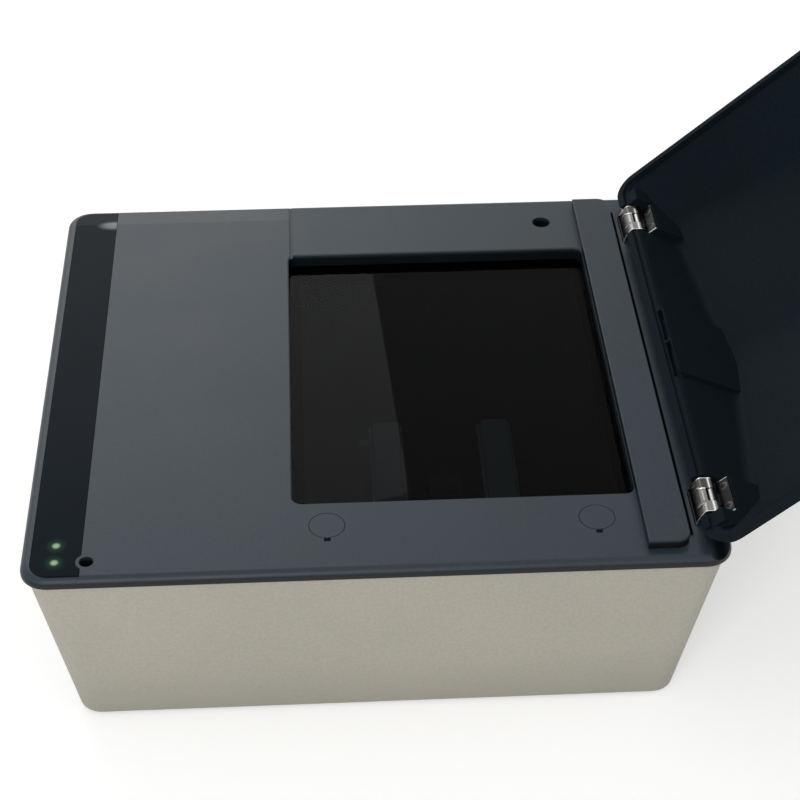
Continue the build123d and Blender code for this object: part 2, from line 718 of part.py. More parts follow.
# Square data socket and round power socket, their mouths in the rear wall
usb_y0 = port_y - usb_l
usb_cz = usb_z + usb_h / 2
usb_socket = block(usb_x - usb_w / 2, usb_x + usb_w / 2, usb_y0, port_y, usb_z, usb_z + usb_h)
mouth_x0 = usb_x - usb_mouth_w / 2
mouth_x1 = usb_x + usb_mouth_w / 2
mouth_z0 = usb_cz - usb_mouth_h / 2
mouth_z1 = usb_cz + usb_mouth_h / 2
usb_cut = usb_mouth_h / 4
mouth = [(mouth_x0, mouth_z0), (mouth_x1, mouth_z0), (mouth_x1, mouth_z1 - usb_cut)]
mouth += [(mouth_x1 - usb_cut, mouth_z1), (mouth_x0 + usb_cut, mouth_z1), (mouth_x0, mouth_z1 - usb_cut)]
usb_socket -= prism_y(mouth, port_y - usb_mouth_depth, port_y + overrun)
usb_socket += block(usb_x - usb_tongue_w / 2, usb_x + usb_tongue_w / 2, port_y - usb_mouth_depth - overrun,
                    port_y - overrun, usb_cz - usb_tongue_h / 2, usb_cz + usb_tongue_h / 2)
jack_cz = usb_z + jack_h / 2
power_jack = block(jack_x - jack_w / 2, jack_x + jack_w / 2, port_y - jack_l, port_y, usb_z, usb_z + jack_h)
bore_y = port_y - jack_bore_depth / 2 + overrun / 2
power_jack -= Pos(jack_x, bore_y, jack_cz) * Rot(X=90) * Cylinder(jack_bore_r, jack_bore_depth + overrun)
jack_pin_y = port_y - overrun - jack_bore_depth / 2
power_jack += Pos(jack_x, jack_pin_y, jack_cz) * Rot(X=90) * Cylinder(jack_pin_r, jack_bore_depth)

# Board connectors and the flat ribbons between the boards
conn_z1 = board_top_z + plug_body_h
camera_conn_x = well_cx - camera_board_w / 2
ribbon_z = board_top_z + plug_body_h / 2
conn_half = ribbon_w / 2 + rib_t / 2
light_y = well_cy + light_board_d / 2 - ribbon_w
tall_z = light_z + led_h + board_t
cable_x = status_wide_x1 - plug_body_d
status_low = status_z - board_t


def connector(x0, x1, y, z0, z1):
    return block(x0, x1, y - conn_half, y + conn_half, z0, z1)


def turned_connector(y0, z0, z1):
    return block(cable_x - conn_half, cable_x + conn_half, y0, y0 + plug_body_d, z0, z1)


camera_conn = connector(camera_conn_x, camera_conn_x + plug_body_d, well_cy, board_top_z, conn_z1)
main_conn = connector(main_x1 - plug_body_d, main_x1, well_cy, board_top_z, conn_z1)
tall_conn = connector(main_x1 - plug_body_d, main_x1, light_y, board_top_z, tall_z)
status_conn = turned_connector(status_y1 - plug_body_d, status_low - plug_body_h, status_low)
front_conn = turned_connector(main_y0, board_top_z, conn_z1)
board_connectors = together([camera_conn, main_conn, tall_conn, status_conn, front_conn])


def flat_ribbon(x0, x1, y, half, z, room):
    reach = ribbon_t / 2 + room
    return block(x0, x1, y - half - room, y + half + room, z - reach, z + reach)


camera_ribbon = flat_ribbon(main_x1, camera_conn_x, well_cy, ribbon_w / 2, ribbon_z, 0)
light_edge_x = well_cx - light_board_dx - light_board_w / 2
light_ribbon_z = light_z - board_t / 2
slit_x0 = well_cx - box_floor_w
slit_x1 = well_cx - box_floor_w / 4
light_ribbon = flat_ribbon(main_x1, light_edge_x, light_y, ribbon_w / 4, light_ribbon_z, 0)
light_box -= flat_ribbon(slit_x0, slit_x1, light_y, ribbon_w / 4, light_ribbon_z, slip)
status_conn_y = status_y1 - plug_body_d / 2
bends = ((status_conn_y, status_low - plug_body_h), (status_conn_y, ribbon_z), (main_y0, ribbon_z))
route = trace(FilletPolyline(*bends, radius=cable_r), line_width=ribbon_t)
status_ribbon = extrude(Plane.YZ.offset(cable_x - ribbon_w / 4) * route, ribbon_w / 2)

# Hinge leaves: stamped sheet rolled round the pin
roll_r = pin_r + pin_gap + leaf_t / 2
knuckle_out = pin_r + pin_gap + leaf_t
knuckle_in = pin_r + pin_gap
foot_x = deck_leaf_foot_x - hinge_x
foot_low = rim_z - leaf_t / 2 - hinge_z
flat_end = (-deck_leaf_flat, roll_r)
foot_bend = (foot_x, leaf_bend_r - hinge_rise)
slope_mid = ((flat_end[0] + foot_bend[0]) / 2, (flat_end[1] + foot_bend[1]) / 2)
upper_path = FilletPolyline((0, roll_r), flat_end, slope_mid, radius=deck_leaf_crown_r)
foot_end = (foot_x - deck_leaf_foot_l, foot_low)
lower_path = FilletPolyline(slope_mid, foot_bend, (foot_x, foot_low), foot_end, radius=leaf_bend_r)
ring = Circle(knuckle_out) - Circle(knuckle_in)
deck_profile = ring + trace(upper_path, line_width=leaf_t) + trace(lower_path, line_width=leaf_t)
deck_profile -= Circle(knuckle_in)
mid_half = knuckle_l / 2 + knuckle_gap
mid_reach = knuckle_out + knuckle_gap


def stamped(profile, hy):
    # The sheet's profile carried along the hinge, seen from the front with the axis at zero
    face = Plane(origin=(hinge_x, hy + hinge_l / 2, hinge_z), x_dir=(1, 0, 0), z_dir=(0, -1, 0)) * profile
    return extrude(face, hinge_l)


deck_leaves = []
hinge_deck_screws = []
deck_screw_bite = hinge_screw_l - screw_gap
for hy in hinge_ys:
    leaf = stamped(deck_profile, hy)
    leaf -= block(hinge_x - mid_reach, hinge_x + mid_reach, hy - mid_half, hy + mid_half,
                  hinge_z - mid_reach, hinge_z + mid_reach)
    for sy in (hy - hinge_screw_dy, hy + hinge_screw_dy):
        leaf -= rod(foot_screw_x, sy, rim_z - leaf_t - overrun, rim_z + overrun, hinge_screw_r + screw_gap)
        hinge_deck_screws.append(screw_up(foot_screw_x, sy, rim_z - leaf_t, hinge_screw_head_r,
                                          hinge_screw_head_h, hinge_screw_r, deck_screw_bite))
    deck_leaves.append(leaf)
hinge_deck_leaves = together(deck_leaves)
hinge_deck_screws = together(hinge_deck_screws)
pin_l = hinge_l + 2 * pin_over
hinge_pins = together(Pos(hinge_x, hy, hinge_z) * Rot(X=90) * Cylinder(pin_r, pin_l) for hy in hinge_ys)

# Hood in its closed place: drafted sides under a low crowned roof
hood_rim_z = hinge_z + hood_rim_rise
hood_lip_z = hood_rim_z + hood_lip
hood_top_z = hood_lip_z + hood_reach


# Steepest lean of the roof, below that of the sides
crown_turn = radians(26)


def hood_form(inset, low):
    # The same outline for the skin and for its hollow, which lies one wall further in
    width = deck_w - 2 * inset * hypot(1, side_slope)
    depth = deck_d - 2 * inset
    end_in = inset * hypot(1, end_slope)
    top_width = width - 2 * (hood_lip + hood_reach) * side_slope
    top_depth = deck_d - 2 * end_in - 2 * hood_reach * end_slope
    lip_z = hood_lip_z - (end_in - inset) / end_slope
    rim = (width + 2 * low * side_slope, depth, hood_corner_r - inset, hood_rim_z - low)
    lip = (width - 2 * hood_lip * side_slope, depth, hood_corner_r - inset, lip_z)
    top = (top_width, top_depth, hood_top_corner_r - inset, hood_top_z)
    sides = frustum([rim, lip, top], 0, 0)
    reach = deck_d / 2 + overrun
    peak = hinge_z + hood_peak - inset
    eave = peak - gable_fall * reach
    low_z = hinge_z - 2 * body_h
    outline = ((-reach, low_z), (-reach, eave), (0, peak), (reach, eave), (reach, low_z))
    gable = make_face(Polyline(*outline, close=True))
    gable = fillet(gable.vertices().sort_by(Axis.Y)[-1], ridge_r)
    half_arc = degrees(asin(deck_w / roof_r))
    turn = Axis((0, 0, peak - roof_r + inset), (0, 1, 0))
    roof = revolve(Plane.YZ * gable, axis=turn, revolution_arc=2 * half_arc).rotate(turn, -half_arc)
    return sides & roof


def crown_edges(form):
    # The outline of the roof, without the two seams along the ridge
    high = [face for face in form.faces() if face.center().Z > hinge_z + hood_peak / 2]
    edges = [edge for face in high if face.normal_at().Z > cos(crown_turn) for edge in face.edges()]
    return [edge for edge in edges if abs(edge.center().X) > deck_w / 4 or abs(edge.center().Y) > deck_d / 8]


hood_outer = hood_form(0, 0)
hood_outer = fillet(crown_edges(hood_outer), crown_r)
hood_hollow = hood_form(hood_wall, overrun)
hood_hollow = fillet(crown_edges(hood_hollow), crown_in_r)

# Raised bosses for the hinge leaves and the raised panel between them, left standing in the hollow
wall_in = hood_wall * hypot(1, side_slope)


def wall_slab(raise_by, y0, y1):
    far = raise_by * hypot(1, side_slope)
    base_x = deck_w / 2 - wall_in
    low_x = base_x + overrun * side_slope
    top_x = base_x - (hood_lip + hood_reach) * side_slope
    z_low = hood_rim_z - overrun
    outline = [(low_x - far, z_low), (low_x + wall_in, z_low), (top_x + wall_in, hood_top_z)]
    return prism_y(outline + [(top_x - far, hood_top_z)], y0, y1)


bosses = wall_slab(boss_t, hinge_ys[0] - boss_out, hinge_ys[0] + boss_in)
bosses += wall_slab(boss_t, hinge_ys[1] - boss_in, hinge_ys[1] + boss_out)
panel = wall_slab(panel_t, panel_y0, panel_y1)
hood = hood_outer - (hood_hollow - bosses - panel)

# Stepped rim, mouth at the front, pockets round the knuckles and slots beside the rim
step_w = deck_w - 2 * hood_rim_w
step_d = deck_d - 2 * hood_rim_w
hood -= slab(0, 0, step_w, step_d, hood_corner_r - hood_rim_w, hood_rim_z - overrun, hood_rim_z + hood_step)
flank_x = half_w - hood_corner_r
brow_x = half_w - arch_run
below_z = hood_rim_z - overrun
flank_z = hood_rim_z + arch_low
brow_z = hood_rim_z + arch_high
left_side = ((-half_w, below_z), (-half_w, hood_rim_z), (-flank_x, flank_z), (-brow_x, brow_z))
right_side = ((brow_x, brow_z), (flank_x, flank_z), (half_w, hood_rim_z), (half_w, below_z))
arch = make_face(Polyline(*left_side, *right_side, close=True))
arch = fillet(arch.vertices().sort_by(Axis.Y)[-2:], arch_r)
mouth_cut = extrude(Plane.XZ.offset(deck_d / 2 - arch_depth) * arch, arch_depth + overrun)
corner_y = hood_corner_r - deck_d / 2
mouth_top = hood_rim_z + 2 * arch_high
mouth_cut -= block(-half_w - overrun, -flank_x, corner_y, 0, hood_rim_z - 2 * overrun, mouth_top)
mouth_cut -= block(flank_x, half_w + overrun, corner_y, 0, hood_rim_z - 2 * overrun, mouth_top)
hood -= mouth_cut
pocket_top = hinge_z + lid_leaf_rise + leaf_t
for hy in hinge_ys:
    hood -= block(hinge_x - pocket_deep, half_w + overrun, hy - pocket_half, hy + pocket_half,
                  hood_rim_z - overrun, pocket_top)
slot_x1 = deck_w / 2 - hood_rim_w - rim_slot_w / 2
for y0, y1 in rim_slots:
    hood -= block(slot_x1 - rim_slot_w, slot_x1, y0, y1, hood_rim_z - overrun, hood_rim_z + rim_slot_depth)

# Lid leaf: a tongue from the middle knuckle, then a plate that lies flat under the boss
lid_mid = lid_leaf_rise + leaf_t / 2
lid_bend = (-lid_leaf_in, lid_mid)
lid_end = (-lid_leaf_out, lid_mid)
touch_turn = atan2(lid_mid, lid_leaf_in) - asin(roll_r / hypot(lid_leaf_in, lid_mid)) + radians(90)
touch = (-roll_r * cos(touch_turn), roll_r * sin(touch_turn))
lid_path = FilletPolyline(touch, lid_bend, lid_end, radius=lid_leaf_bend_r)
lid_profile = ring + trace(lid_path, line_width=leaf_t) - Circle(knuckle_in)
plate_z = hinge_z + lid_leaf_rise
lid_screw_x = hinge_x - lid_screw_out
countersink = hinge_screw_head_h + screw_gap
lid_leaves = []
lid_screws = []
for hy in hinge_ys:
    leaf = stamped(lid_profile, hy)
    for side in (-1, 1):
        y_in = hy + side * knuckle_l / 2
        y_out = hy + side * (hinge_l / 2 + overrun)
        leaf -= block(hinge_x - mid_reach, hinge_x + mid_reach, min(y_in, y_out), max(y_in, y_out),
                      hinge_z - mid_reach, plate_z)
        leaf -= block(hinge_x, hinge_x + mid_reach, min(y_in, y_out), max(y_in, y_out),
                      plate_z - overrun, pocket_top)
        seat = Pos(lid_screw_x, hy + side * hinge_screw_dy, plate_z)
        leaf -= seat * Cylinder(hinge_screw_r + screw_gap, leaf_t + overrun, align=STAND)
        leaf -= seat * Cone(hinge_screw_head_r + screw_gap, hinge_screw_r + screw_gap, countersink, align=STAND)
        hood -= seat * Cylinder(hinge_screw_r + screw_gap, hinge_screw_l + leaf_t + slip, align=STAND)
        head = seat * Cone(hinge_screw_head_r, hinge_screw_r, hinge_screw_head_h, align=STAND)
        lid_screws.append(head + seat * Cylinder(hinge_screw_r, hinge_screw_l + leaf_t, align=STAND))
    lid_leaves.append(leaf)

# The hood is stored open, turned about the hinge line
swing = Axis((hinge_x, 0, hinge_z), (0, 1, 0))
lid_hood = hood.rotate(swing, hood_open)
hinge_lid_leaves = together(lid_leaves).rotate(swing, hood_open)
hinge_lid_screws = together(lid_screws).rotate(swing, hood_open)

nodes = {
    "lower_housing": lower_housing, "rubber_feet": rubber_feet, "top_cover": top_cover,
    "status_window": status_window, "status_board": status_board, "status_board_screws": status_screws,
    "status_leds": status_leds, "buzzer": buzzer, "document_glass": document_glass,
    "glass_gasket": glass_gasket, "stop_bar": stop_bar, "stop_bar_screws": stop_bar_screws,
    "screw_plugs": screw_plugs, "cover_screws": cover_screws, "antenna_board": antenna_board,
    "antenna_screws": antenna_screws, "light_seal": light_seal, "light_box": light_box,
    "light_box_screws": light_box_screws, "camera_board": camera_board, "camera_holder": camera_holder,
    "camera_lens": camera_lens, "lens_glass": lens_glass, "image_chip": image_chip,
    "camera_screws": camera_screws, "light_boards": light_boards, "light_leds": light_leds,
    "diffusers": diffusers, "main_board": main_board, "board_screws": board_screws,
    "processor": processor, "heat_sink": heat_sink, "usb_socket": usb_socket, "power_jack": power_jack,
    "board_connectors": board_connectors, "camera_ribbon": camera_ribbon, "light_ribbon": light_ribbon,
    "status_ribbon": status_ribbon, "hinge_deck_leaves": hinge_deck_leaves,
    "hinge_deck_screws": hinge_deck_screws, "hinge_pins": hinge_pins, "lid_hood": lid_hood,
    "hinge_lid_leaves": hinge_lid_leaves, "hinge_lid_screws": hinge_lid_screws,
}
os.makedirs("parts", exist_ok=True)
for name, solid in nodes.items():
    export_step(solid, "parts/" + name + ".step")
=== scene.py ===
import bpy
import math
import numpy as np
from mathutils import Matrix, Vector


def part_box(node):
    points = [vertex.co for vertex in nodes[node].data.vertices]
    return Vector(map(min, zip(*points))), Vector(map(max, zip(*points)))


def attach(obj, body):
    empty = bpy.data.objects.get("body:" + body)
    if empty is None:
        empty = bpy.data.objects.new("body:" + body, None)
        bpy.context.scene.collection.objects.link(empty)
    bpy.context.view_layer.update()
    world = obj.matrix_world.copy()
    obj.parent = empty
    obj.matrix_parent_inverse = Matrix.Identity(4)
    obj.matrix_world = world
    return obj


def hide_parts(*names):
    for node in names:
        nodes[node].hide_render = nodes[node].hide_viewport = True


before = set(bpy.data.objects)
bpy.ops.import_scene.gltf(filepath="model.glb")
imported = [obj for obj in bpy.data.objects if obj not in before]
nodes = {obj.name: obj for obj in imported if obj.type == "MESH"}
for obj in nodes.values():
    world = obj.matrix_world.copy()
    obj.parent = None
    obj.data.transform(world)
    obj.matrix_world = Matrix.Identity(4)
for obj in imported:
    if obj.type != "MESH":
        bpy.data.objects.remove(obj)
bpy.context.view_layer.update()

# The standpoint: a little left of the middle, about half a metre in front and as high,
# looking down on the deck with a long lens.
eye = Vector((-0.016948, -0.498586, 0.455575))
pitch, yaw, roll = math.radians(39.45), math.radians(3.258), math.radians(0.275)
focal_px, middle_px, picture_px = 1910.561, (400.685, 421.317), 800
nearest, farthest = 0.01, 20
ahead = Vector((math.sin(yaw) * math.cos(pitch), math.cos(yaw) * math.cos(pitch), -math.sin(pitch)))
level = Vector((math.cos(yaw), -math.sin(yaw), 0))
over = level.cross(ahead)
right = math.cos(roll) * level + math.sin(roll) * over
up = math.cos(roll) * over - math.sin(roll) * level
lens = bpy.data.cameras.new("view")
lens.sensor_width = 36
lens.lens = focal_px * lens.sensor_width / picture_px
lens.shift_x = (picture_px / 2 - middle_px[0]) / picture_px
lens.shift_y = (middle_px[1] - picture_px / 2) / picture_px
lens.clip_start, lens.clip_end = nearest, farthest
camera = bpy.data.objects.new("view", lens)
camera.matrix_world = Matrix.Translation(eye) @ Matrix((right, up, -ahead)).transposed().to_4x4()
bpy.context.scene.collection.objects.link(camera)
bpy.context.scene.camera = camera
bpy.context.scene.view_settings.view_transform = "Standard"


# The table it stands on and the light: a plain pale sheet of paper, a bright even room
# and two broad soft lamps, one behind on the left and one in front on the left.
class Value:
    """A number or colour inside a material. Sums and products of values add Math nodes."""

    def __init__(self, tree, socket=None):
        self.tree, self.socket = tree, socket

    def node(self, kind, settings, inputs, out=0):
        """Adds a node of that type, its settings first, then its sockets' values or links."""
        made = self.tree.nodes.new(kind)
        for key, setting in settings.items():
            setattr(made, key, setting)
        for key, given in inputs.items():
            if isinstance(given, Value):
                self.tree.links.new(given.socket, made.inputs[key])
            else:
                made.inputs[key].default_value = given
        return Value(self.tree, made.outputs[out])

    def sum(self, operation, first, second):
        return self.node("ShaderNodeMath", {"operation": operation}, {0: first, 1: second})

    def __add__(self, other):
        return self.sum("ADD", self, other)

    def __mul__(self, other):
        return self.sum("MULTIPLY", self, other)

    __radd__, __rmul__ = __add__, __mul__

    def step(self, low, high):
        """Rises smoothly from 0 at low to 1 at high."""
        span = {"From Min": low, "From Max": high, "To Min": 0.0, "To Max": 1.0, "Value": self}
        smooth = {"interpolation_type": "SMOOTHSTEP", "clamp": True}
        return self.node("ShaderNodeMapRange", smooth, span)

    def blend(self, first, second):
        """A colour that goes from first to second as this value goes from 0 to 1."""
        return self.node("ShaderNodeMix", {"data_type": "RGBA"}, {0: self, 6: first, 7: second}, 2)


def tone(red, green, blue):
    """The light's own value of a colour read off a screen, each channel from 0 to 255."""
    screen = np.array([red, green, blue]) / 255
    light = np.where(screen <= 0.04045, screen / 12.92, ((screen + 0.055) / 1.055) ** 2.4)
    return (*map(float, light), 1.0)


def new_finish(name):
    """An empty material: the material itself, the value that nodes start from and the
    point of the object."""
    made = bpy.data.materials.new(name)
    made.use_nodes = True
    made.node_tree.nodes.clear()
    start = Value(made.node_tree)
    place = start.node("ShaderNodeTexCoord", {}, {}, "Object")
    return made, start, place


def noise(start, place, scale, detail):
    """Cloudy noise at that many lumps per metre, with that many finer layers on it."""
    return start.node("ShaderNodeTexNoise", {}, {"Vector": place, "Scale": scale, "Detail": detail})


def principled(start, inputs):
    return start.node("ShaderNodeBsdfPrincipled", {}, inputs)


def close_finish(start, shader):
    end = start.tree.nodes.new("ShaderNodeOutputMaterial")
    start.tree.links.new(shader.socket, end.inputs["Surface"])


def seen_rays(start):
    """1 for rays from the eye, from a gloss or through glass, 0 for those that carry light."""
    rays = start.tree.nodes.new("ShaderNodeLightPath")
    eye_ray, gloss_ray, glass_ray = [
        Value(start.tree, rays.outputs[kind])
        for kind in ("Is Camera Ray", "Is Glossy Ray", "Is Transmission Ray")]
    return start.sum("MINIMUM", eye_ray + gloss_ray + glass_ray, 1.0)


sheet_half = 4.0
white = (1, 1, 1, 1)
paper_glow, room_light, room_seen = 0.4, 0.6, 0.4
sheet_corners = [(-sheet_half, -sheet_half, 0), (sheet_half, -sheet_half, 0),
                 (sheet_half, sheet_half, 0), (-sheet_half, sheet_half, 0)]
sheet_mesh = bpy.data.meshes.new("table_sheet")
sheet_mesh.from_pydata(sheet_corners, [], [(0, 1, 2, 3)])
sheet = bpy.data.objects.new("table_sheet", sheet_mesh)
bpy.context.scene.collection.objects.link(sheet)
paper, start, place = new_finish("table_paper")
fibre = noise(start, place, 900.0, 3.0)
matt = principled(start, {
    "Base Color": fibre.blend(tone(232, 232, 232), tone(236, 236, 236)),
    "Roughness": 0.9, "Specular IOR Level": 0.1})
strength = seen_rays(start) * paper_glow
glow = start.node("ShaderNodeEmission", {}, {"Color": white, "Strength": strength})
close_finish(start, start.node("ShaderNodeAddShader", {}, {0: matt, 1: glow}))
sheet_mesh.materials.append(paper)

room = bpy.data.worlds.new("room")
room.use_nodes = True
room.node_tree.nodes.clear()
air = Value(room.node_tree)
strength = seen_rays(air) * room_seen + room_light
sky = air.node("ShaderNodeBackground", {}, {"Color": white, "Strength": strength})
bound = room.node_tree.nodes.new("ShaderNodeOutputWorld")
room.node_tree.links.new(sky.socket, bound.inputs["Surface"])
bpy.context.scene.world = room

lit_point = Vector((0, 0, 0.05))
lamps = (("back_left", (-0.4, 1.35, 0.85), 0.9, 4.2),
         ("front_left", (-0.4, -1.3, 1.1), 0.7, 8.0))
for name, spot, width, watts in lamps:
    lamp = bpy.data.lights.new(name, "AREA")
    lamp.size, lamp.energy = width, watts
    holder = bpy.data.objects.new(name, lamp)
    aim = (lit_point - Vector(spot)).to_track_quat("-Z", "Y").to_matrix().to_4x4()
    holder.matrix_world = Matrix.Translation(spot) @ aim
    bpy.context.scene.collection.objects.link(holder)


# Lower housing: one tub moulded in warm grey plastic with a fine sparked surface,
# wider at the top so that it leaves the mould. The deck sits on its rim.
def shaded(colour, part):
    return tuple(c * part for c in colour[:3]) + (1.0,)


def axis_of(start, place, axis):
    return start.node("ShaderNodeSeparateXYZ", {}, {"Vector": place}, "XYZ".index(axis))


def moulded(name, colour, rough, spec=0.5, speckle=0.05, depth=0.3,
            low_part=1.0, low=(-0.004, 0.03), gap=None):
    """Moulded plastic: a fine sparked grain, faint speckles, slow clouds in tone and gloss,
    and painted shade: low_part times the colour where the height is under the range low. Gap is
    the range of X, and the farthest Y, of a strip beside a neighbour painted in deep shade."""
    spark_scale, fleck_scale, cloud_scale, spark_height = 1800.0, 1100.0, 22.0, 0.00006
    made, start, place = new_finish(name)
    fine = noise(start, place, spark_scale, 2.0)
    fleck = noise(start, place, fleck_scale, 1.0).step(0.35, 0.65)
    cloud = noise(start, place, cloud_scale, 3.0).step(0.3, 0.7)
    mottle = fleck * 0.6 + cloud * 0.4
    shade = mottle.blend(shaded(colour, 1 - speckle), shaded(colour, 1 + speckle))
    # Painted shade: low_part darkens the colour under the range low.
    if low_part < 1:
        foot = mottle.blend(shaded(colour, low_part * (1 - speckle)), shaded(colour, low_part))
        shade = axis_of(start, place, "Z").step(*low).blend(foot, shade)
    grain = {"Height": fine, "Strength": depth, "Distance": spark_height}
    shader = principled(start, {
        "Base Color": shade,
        "Roughness": cloud * 0.06 + (fine * 0.06 + (rough - 0.06)),
        "Normal": start.node("ShaderNodeBump", {}, grain),
        "Specular IOR Level": spec})
    # Painted shade: inside the gap a dark matt shader with no gloss takes over the surface.
    if gap:
        left, right_end, far = gap
        fade_x, fade_y, light_left = 0.0004, 0.002, 0.12
        side, along = axis_of(start, place, "X"), axis_of(start, place, "Y")
        hidden = side.step(left - fade_x, left) * side.step(right_end + fade_x, right_end)
        hidden = hidden * along.step(-far - fade_y, -far) * along.step(far + fade_y, far)
        dark = principled(start, {
            "Base Color": shaded(colour, light_left), "Roughness": 1.0, "Specular IOR Level": 0.0})
        shader = start.node("ShaderNodeMixShader", {}, {0: hidden, 1: shader, 2: dark})
    close_finish(start, shader)
    return made


def dress(names, finish):
    """Gives carried-over CAD nodes their finish."""
    for name in names:
        for slot in nodes[name].material_slots:
            slot.material = finish


housing_grey = tone(177, 173, 160)
# Painted shade: the housing's colour falls towards its bottom edge to 0.86 of itself.
dress(["lower_housing"], moulded("housing_plastic", housing_grey, 0.6, speckle=0.07, low_part=0.86))

# Deck, bar and plugs: moulded in dark blue-grey plastic with a fine matt grain, with painted shade
# on the bar's sides, below the deck's rim and beside the bar. The plugs are pressed into their
# cups, the bar is screwed on from below.
deck_blue, bar_blue = tone(36, 48, 56), tone(38, 48, 57)
# Painted shade: below the top of its rim the deck is painted at a fifth of its colour, on the rim's
# sides and the walls of its wells.
rim_foot = (0.0674, 0.0680)
# Painted shade: a dark matt strip on the deck along the bar's right side; X from and to, then the
# farthest Y.
shade_beside_bar = (0.0921, 0.0937, 0.0862)
bar_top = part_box("stop_bar")[1][2]
# Painted shade: low on the bar's sides its colour falls to a tenth.
bar_foot = (bar_top - 0.0011, bar_top - 0.0005)
dress(["screw_plugs"], moulded("plug_plastic", deck_blue, 0.4, spec=0.32, speckle=0.14))
dress(["top_cover"], moulded("deck_plastic", deck_blue, 0.4, spec=0.32, speckle=0.14,
                             low_part=0.2, low=rim_foot, gap=shade_beside_bar))
dress(["stop_bar"], moulded("bar_plastic", bar_blue, 0.4, spec=0.26, speckle=0.14,
                            low_part=0.1, low=bar_foot))

# Hood: one moulding of the same plastic, painted in a much deeper shade of it and with its gloss
# nearly off, as painted shade. It hangs on its two hinges.
hood_shaded_blue = tone(19, 28, 33)
dress(["lid_hood"], moulded("hood_plastic", hood_shaded_blue, 0.5, spec=0.02, speckle=0.16))


# Smoked strip over the lamps: tinted acrylic let in flush, polished, with the glow of the two green
# lamps under it painted on as soft emitting spots. It bends down where the deck falls to the back.
lamp_x, lamp_ys, strip_face = -0.0948, (-0.0823, -0.0895), 0.069
fold_x, fold_y = -0.0882, 0.0873
core_reach, halo_reach, fold_reach = (0.0016, 0.0004), (0.0038, 0.0006), (0.0068, 0.0015)
unlit, halo_green, core_green = (0, 0, 0, 1), tone(22, 52, 34), tone(150, 176, 138)


def distance(start, first, second):
    return start.node("ShaderNodeVectorMath", {"operation": "DISTANCE"}, {0: first, 1: second}, 1)


def tinted(name, colour, rough, spec=0.5, lamps=(), fold=None):
    """Dark glossy sheet with a slow waviness. At each of the two lamps a pale core and a green glow
    round it are painted on as emission; fold is the place on the bend where the clear coat shines."""
    made, start, place = new_finish(name)
    wave = noise(start, place, 60.0, 1.0)
    ripple = {"Height": wave, "Strength": 0.1, "Distance": 0.0004}
    settings = {
        "Base Color": wave.blend(shaded(colour, 0.85), shaded(colour, 1.15)),
        "Roughness": wave * 0.04 + rough,
        "Normal": start.node("ShaderNodeBump", {}, ripple),
        "Specular IOR Level": spec}
    # Painted light: the lamps' glow is painted on the strip as its own emission.
    if lamps:
        cores, halos = [], []
        for spot in lamps:
            away = distance(start, place, spot)
            cores.append(away.step(*core_reach))
            halos.append(away.step(*halo_reach))
        core, halo = cores[0] + cores[1], halos[0] + halos[1]
        settings["Emission Color"] = core.blend(halo.blend(unlit, halo_green), core_green)
        settings["Emission Strength"] = 1.0
    if fold:
        squash = (1.0, 2.0, 1.0)
        near = start.node("ShaderNodeVectorMath", {"operation": "MULTIPLY"}, {0: place, 1: squash})
        middle = tuple(a * b for a, b in zip(fold, squash))
        settings["Coat Weight"] = distance(start, near, middle).step(*fold_reach)
    close_finish(start, principled(start, settings))
    return made


lamp_spots = [(lamp_x, y, strip_face) for y in lamp_ys]
dress(["status_window"], tinted("smoked_acrylic", tone(11, 21, 28), 0.2, 0.03,
                                lamp_spots, (fold_x, fold_y, strip_face)))


# Page glass and camera lens: float glass coated against reflections, dark over the black
# optics, on a rubber gasket in the well; the lens is clear and pressed into its barrel.
def clear(name, rough, tint, ior):
    """Glass with a little dust in its gloss; tint is what one pass leaves of the light."""
    made, start, place = new_finish(name)
    dust = noise(start, place, 300.0, 4.0).step(0.5, 0.8)
    close_finish(start, principled(start, {
        "Base Color": dust.blend(tint, shaded(tint, 0.9)),
        "Roughness": dust * 0.004 + rough, "Transmission Weight": 1.0, "IOR": ior}))
    return made


page_tint, lens_tint = (0.09, 0.11, 0.12, 1), (0.9, 0.92, 1, 1)
coated_ior, glass_ior = 1.1, 1.5
dress(["document_glass"], clear("page_glass", 0.01, page_tint, coated_ior))
dress(["lens_glass"], clear("lens_glass", 0.0, lens_tint, glass_ior))


# Deck leaves of the hinges: nickel-plated sheet, 0.7 mm, its outer thirds rolled round the
# pin, a flat beside them, then down through the deck and screwed from below. A stiffening
# bead is pressed across the flat.
def metal(name, colour, rough, brushed=0.0, shade_and_highlight=None):
    """Metal with a faint rolled grain along Y and slow patches in its tone and gloss. The optional
    pair holds a painted-shade colour and a painted-highlight colour: the mesh's own attribute of
    painted light takes the colour from the first at 0, through the metal's own at a half, to the
    second at 1."""
    rolled, grain_scale, patch_scale, scratch_depth = (1.0, 0.08, 1.0), 5000.0, 250.0, 0.00002
    made, start, place = new_finish(name)
    long = start.node("ShaderNodeMapping", {}, {"Vector": place, "Scale": rolled})
    grain = noise(start, long, grain_scale, 2.0)
    patch = noise(start, place, patch_scale, 2.0)
    scratch = {"Height": grain, "Strength": brushed, "Distance": scratch_depth}
    shade = patch.blend(shaded(colour, 0.8), shaded(colour, 1.15))
    # Painted light: shade and highlights painted into the base colour by the mesh's attribute.
    if shade_and_highlight:
        painted_dark, bright = shade_and_highlight
        painted_light = start.node("ShaderNodeAttribute", {"attribute_name": "painted_light"}, {}, 2)
        shade = painted_light.step(0.5, 1.0).blend(painted_light.step(0.0, 0.5).blend(painted_dark, shade), bright)
    close_finish(start, principled(start, {
        "Base Color": shade, "Metallic": 1.0, "Roughness": patch * 0.08 + rough,
        "Normal": start.node("ShaderNodeBump", {}, scratch)}))
    return made


